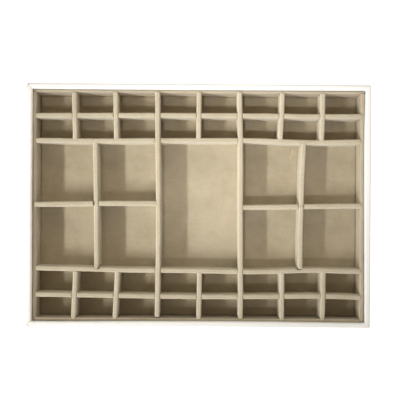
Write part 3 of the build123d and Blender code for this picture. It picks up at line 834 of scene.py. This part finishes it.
def sleeve(name, points, along_x, seed):
    top = TOP + EXTRA_HEIGHT.get(name, 0.0)
    line = spline_through(points)
    start, end = points[0][0], points[-1][0]
    partners = [(h if not along_x else v) for v, h in CROSSINGS if name in (v, h)]
    slots = []
    for other in partners:
        c = partner_place(name, other, along_x)
        lo, hi = c - 2.6, c + 2.6
        if name in WIDE_SLOTS:
            lo, hi = lo + WIDE_SLOTS[name][0], hi + WIDE_SLOTS[name][1]
        slots.append((lo, hi))
    level = SLOT_LEVEL if along_x else SLOT_LEVEL + 0.1
    r = 1.6
    side_z = [FLOOR, 7.4, 7.9, 8.6, 9.6, 11.2, 13.2, 15.6, level, 20.0, 22.0, 24.0, 26.0, 26.8]
    if top - r > 27.6:
        side_z += [27.4]
    if top - r > 28.2:
        side_z += [28.0]
    side_z += [top - r]
    half_section = [(HALF, z) for z in side_z]
    for a in (18, 36, 54, 72, 88):
        half_section.append((HALF - r + r * math.cos(math.radians(a)), top - r + r * math.sin(math.radians(a))))
    half_section.append((0.45, top - 0.03))
    section = [(-t, z) for t, z in half_section] + [(0.0, top - 0.07)] + [(t, z) for t, z in reversed(half_section)]
    level_row = len([z for z in side_z if z < level])
    n_section = len(section)
    low_end, high_end = ENDS[name]
    rows, places = [], stations(start, end, 1.5, slots)
    for s in places:
        at_low = s - start < end - s
        e = min(s - start, end - s)
        lap, re, rolled, raised = low_end if at_low else high_end
        width = (HALF - quarter(e, re) * 0.97) / HALF
        drop = quarter(e, rolled)
        lap_here = lap * max(0.0, 1 - e / 4.0) ** 2 * (-1.0 if at_low else 1.0)
        raise_here = raised * ease(1 - e / 5.0)
        o = line(s)
        slope = (line(min(s + 0.5, end)) - line(max(s - 0.5, start))) / (min(s + 0.5, end) - max(s - 0.5, start))
        k = math.sqrt(1 + slope * slope)
        sway = 0.10 * wob(s / 19, 0.0, 0.0, seed) * ease(e / 6.0)
        calm = 1.0
        for lo, hi in slots:
            gap = 0.0 if lo <= s <= hi else min(abs(s - lo), abs(s - hi))
            calm = min(calm, ease(gap / 5.0))
        pinch = 0.0
        if along_x:
            for lo, hi in slots:
                gap = min(abs(s - lo), abs(s - hi))
                if gap < 1.1:
                    pinch = max(pinch, (1 - gap / 1.1) ** 2)
        row = []
        for j, (t, z) in enumerate(section):
            on_top = ease((z - (top - r)) / r)
            side = 1 - on_top
            tt, zz = t * width, z
            swell = 0.08 * wob(s / 13, z / 9, math.copysign(2.0, t), seed + 40) + 0.05 * wob(s / 4.5, z / 4.5, math.copysign(5.0, t), seed + 41)
            if t:
                outward = (swell - 0.04) * side * ease((z - FLOOR) / 3.0) * (0.3 + 0.7 * calm)
                # turned in at the foot, where the velvet is folded under the board
                outward -= 0.55 * (1.0 - ease((z - FLOOR) / 1.9))
                tt += math.copysign(1.0, t) * outward
            lift = 0.09 * wob(s / 15, t / 3, 0.0, seed + 42) + 0.06 * wob(s / 4.0, t / 2, 4.0, seed + 43)
            zz += (lift - 0.04) * on_top * (0.4 + 0.6 * calm)
            if z > top - 2.5:
                zz -= drop * ease((z - (top - 2.5)) / 2.5)
                zz -= 0.34 * pinch * on_top
                zz += raise_here * ease((z - (top - 2.5)) / 1.5)
            for c, where, w, depth in CREASES.get(name, ()):
                q = math.exp(-(((s - c + 0.5 * t) / w) ** 2)) * math.exp(-(((t / HALF - where) / 0.6) ** 2))
                zz -= depth * q * on_top
                if t:
                    tt -= math.copysign(1.0, t) * depth * 0.8 * q * side * ease((z - (top - 6)) / 6)
            off = tt + sway
            if name in FOOT_BACK and z < top - 3.0:
                off += FOOT_BACK[name] * min(1.0, (top - 3.0 - z) / (top - FLOOR - 4.9))
                if t < 0:
                    # the velvet stays outside its board
                    off = min(off, -1.62 * width)
            run, across = s - off * slope / k, o + off / k
            run += lap_here * ease((z - 28.0) / 0.3) if lap > 0 else lap_here
            row.append((run, across, zz) if along_x else (across, run, zz))
        rows.append(row)

    def in_slot(i):
        m = (places[i] + places[i + 1]) / 2
        return any(lo < m < hi for lo, hi in slots)

    slotted = [in_slot(i) for i in range(len(places) - 1)]

    def skip(i, j):
        if not slotted[i]:
            return False
        # rows of a face: both its points below the slot level on the side, or above it
        low_face = j < level_row or j >= n_section - 1 - level_row
        return not low_face if along_x else low_face

    # both ends are closed: the velvet is folded over the board's end
    caps = []
    for i in (0, len(places) - 1):
        for j in range(n_section // 2):
            a, b = i * n_section + j, i * n_section + j + 1
            c, d = i * n_section + n_section - 2 - j, i * n_section + n_section - 1 - j
            quad = (a, b, c, d) if b != c else (a, b, d)
            caps.append(quad if i == 0 else tuple(reversed(quad)))
    direction = (0, -1, 0) if along_x else (-1, 0, 0)
    index = 2 if not (slotted[0] and not along_x) else 12
    obj = sleeve_mesh(name, rows, skip, caps, direction, index)
    thicken(obj, 0.88)
    place(obj, velvet_cross if along_x else velvet_divider, "divider_grid", "beige_velvet", name + "_velvet")
    return obj


def sleeve_mesh(name, rows, skip, caps, direction, index):
    """The sleeve's skin, its sides and its end folds facing the same way."""
    obj = grid_mesh(name + "_sleeve", rows, skip=skip, outward=(index, direction), extra_faces=caps)
    import bmesh

    bm = bmesh.new()
    bm.from_mesh(obj.data)
    bmesh.ops.recalc_face_normals(bm, faces=bm.faces)
    # recalculated normals all agree; the top must face up
    up = sum(f.normal.z * f.calc_area() for f in bm.faces)
    if up < 0:
        bmesh.ops.reverse_faces(bm, faces=bm.faces)
    bm.to_mesh(obj.data)
    bm.free()
    for poly in obj.data.polygons:
        poly.use_smooth = True
    return obj


seed = 60
for name, points in FRONT_TO_BACK.items():
    seed += 1
    sleeve(name, points, False, seed)
for name, points in LEFT_TO_RIGHT.items():
    seed += 1
    sleeve(name, points, True, seed)


# ------------------------------------------------------------------ floor, light and camera
# the studio's lamps: name, kind, place, aim, size, power, colour, beam angle
WINDOW = (1.0, 0.975, 0.925)
LAMPS = [
    # a long soft window of light low on the left, towards the front, and its brighter middle
    ("key_strip", "STRIP", (-2.28, -1.38, 1.90), (0.0, -1.38, 0.0), (1.42, 0.20), 33.5, WINDOW, 0.0),
    ("key_beam_1", "SPOT", (-2.28, -0.82, 1.90), (-0.035, 0.03, 0.0), 0.14, 108.0, WINDOW, 4.4),
    ("key_beam_2", "SPOT", (-2.28, -1.10, 1.90), (-0.035, 0.03, 0.0), 0.14, 108.0, WINDOW, 4.4),
    ("key_beam_3", "SPOT", (-2.28, -1.38, 1.90), (-0.035, 0.03, 0.0), 0.14, 108.0, WINDOW, 4.4),
    ("key_beam_4", "SPOT", (-2.28, -1.66, 1.90), (-0.035, 0.03, 0.0), 0.14, 108.0, WINDOW, 4.4),
    ("key_beam_5", "SPOT", (-2.28, -1.94, 1.90), (-0.035, 0.03, 0.0), 0.14, 108.0, WINDOW, 4.4),
    # small lamps in front, over the right half and the left back corner
    ("front_lamp", "SPOT", (-0.25, -0.85, 1.80), (0.055, 0.065, 0.0), 0.07, 46.0, (1.0, 0.965, 0.92), 9.8),
    ("front_lamp_left", "SPOT", (-0.25, -0.85, 1.80), (-0.135, 0.112, 0.0), 0.07, 26.0, (1.0, 0.965, 0.92), 4.6),
    ("fill_back", "AREA", (0.05, 0.95, 0.75), (0.0, 0.0, 0.0), (0.9, 0.5), 3.7, (1.0, 0.88, 0.69), 0.0),
]
# the surround's colour from the horizon up, and its softer glows low in front and low on the left
BOUNCE = (0.46, 0.455, 0.44)
SKY = [(0.0, BOUNCE), (0.495, BOUNCE), (0.505, (0.0, 0.0, 0.0)), (0.70, (0.390, 0.364, 0.315)), (0.875, (0.380, 0.289, 0.208)), (1.0, (0.0, 0.0, 0.0))]
LOW = [(0.0, (1.0, 1.0, 1.0)), (0.40, (1.0, 1.0, 1.0)), (0.75, (0.0, 0.0, 0.0))]
FRONT_GLOW = (1.52, 1.48, 1.46)
LEFT_GLOW = (0.16, 0.32, 0.42)


def studio():
    size = 3.0
    mesh = bpy.data.meshes.new("studio_floor")
    mesh.from_pydata([(-size, -size, 0), (size, -size, 0), (size, size, 0), (-size, size, 0)], [], [(0, 1, 2, 3)])
    ground = bpy.data.objects.new("studio_floor", mesh)
    bpy.context.scene.collection.objects.link(ground)
    mat, tree, bsdf, where = new_material("studio_white")
    paper = tex_noise(tree, where, 3.0, 2.0, 0.5)
    tree.links.new(ramp(tree, paper, [(0.3, (0.86, 0.86, 0.86)), (0.7, (0.88, 0.88, 0.88))]), bsdf.inputs["Base Color"])
    bsdf.inputs["Roughness"].default_value = 0.9
    bsdf.inputs["Specular IOR Level"].default_value = 0.0
    bsdf.inputs["Emission Color"].default_value = (1.0, 1.0, 1.0, 1.0)
    bsdf.inputs["Emission Strength"].default_value = 0.62
    mesh.materials.append(mat)
    # the bright paper itself throws no light on the tray: the surround's lower half stands in for its softer bounce
    ground.visible_diffuse = False
    ground.visible_glossy = False

    # soft surround, dark straight above, where the camera hangs
    world = bpy.data.worlds.new("studio_world")
    world.use_nodes = True
    tree = world.node_tree
    back = tree.nodes["Background"]
    back.inputs["Strength"].default_value = 1.0
    ways = tree.nodes.new("ShaderNodeTexCoord")
    split = tree.nodes.new("ShaderNodeSeparateXYZ")
    tree.links.new(ways.outputs["Generated"], split.inputs[0])
    x, y, z = (split.outputs[axis] for axis in "XYZ")
    flat = maths(tree, "SQRT", maths(tree, "ADD", maths(tree, "MULTIPLY_ADD", x, x, 1e-6), maths(tree, "MULTIPLY", y, y)))
    low = maths(tree, "MULTIPLY", ramp(tree, z, LOW), maths(tree, "GREATER_THAN", z, 0.0))
    sky = ramp(tree, maths(tree, "MULTIPLY_ADD", z, 0.5, 0.5), SKY)
    for across, glow in ((y, FRONT_GLOW), (x, LEFT_GLOW)):
        share = maths(tree, "MULTIPLY_ADD", maths(tree, "DIVIDE", across, flat), -0.5, 0.5, clamp=True)
        tint = tree.nodes.new("ShaderNodeVectorMath")
        tint.operation = "SCALE"
        tint.inputs[0].default_value = glow
        tree.links.new(share, tint.inputs["Scale"])
        part = tree.nodes.new("ShaderNodeVectorMath")
        part.operation = "SCALE"
        tree.links.new(tint.outputs[0], part.inputs[0])
        tree.links.new(low, part.inputs["Scale"])
        total = tree.nodes.new("ShaderNodeVectorMath")
        total.operation = "ADD"
        tree.links.new(part.outputs[0], total.inputs[0])
        tree.links.new(sky, total.inputs[1])
        sky = total.outputs[0]
    tree.links.new(sky, back.inputs["Color"])
    bpy.context.scene.world = world

    for name, kind, where_at, aim, size, energy, colour, beam in LAMPS:
        light = bpy.data.lights.new(name, "SPOT" if kind == "SPOT" else "AREA")
        if kind != "SPOT":
            light.shape = "RECTANGLE"
            light.size, light.size_y = size
        else:
            light.shadow_soft_size = size
            light.spot_size = math.radians(beam)
            light.spot_blend = 1.0
        light.energy = energy
        light.color = colour
        lamp = bpy.data.objects.new(name, light)
        lamp.location = where_at
        back_way = (lamp.location - Vector(aim)).normalized()
        if kind == "STRIP":
            along = Vector((0.0, 1.0, 0.0))
            lamp.rotation_euler = Matrix((along, back_way.cross(along), back_way)).transposed().to_euler()
        else:
            lamp.rotation_euler = back_way.to_track_quat("Z", "Y").to_euler()
        lamp.visible_camera = False
        bpy.context.scene.collection.objects.link(lamp)

    cam = bpy.data.cameras.new("camera")
    cam.sensor_fit = "AUTO"
    cam.sensor_width = 36.0
    cam.lens = 60.58
    cam.shift_x = 0.0075
    cam.shift_y = 0.075
    cam.clip_start = 0.01
    cam.clip_end = 20.0
    eye = bpy.data.objects.new("camera", cam)
    eye.location = (-0.00133, -0.0242, 0.702)
    eye.rotation_euler = (0.0, 0.0, math.radians(0.38))
    bpy.context.scene.collection.objects.link(eye)
    bpy.context.scene.camera = eye
    bpy.context.scene.view_settings.view_transform = "Standard"


studio()

bpy.context.view_layer.update()
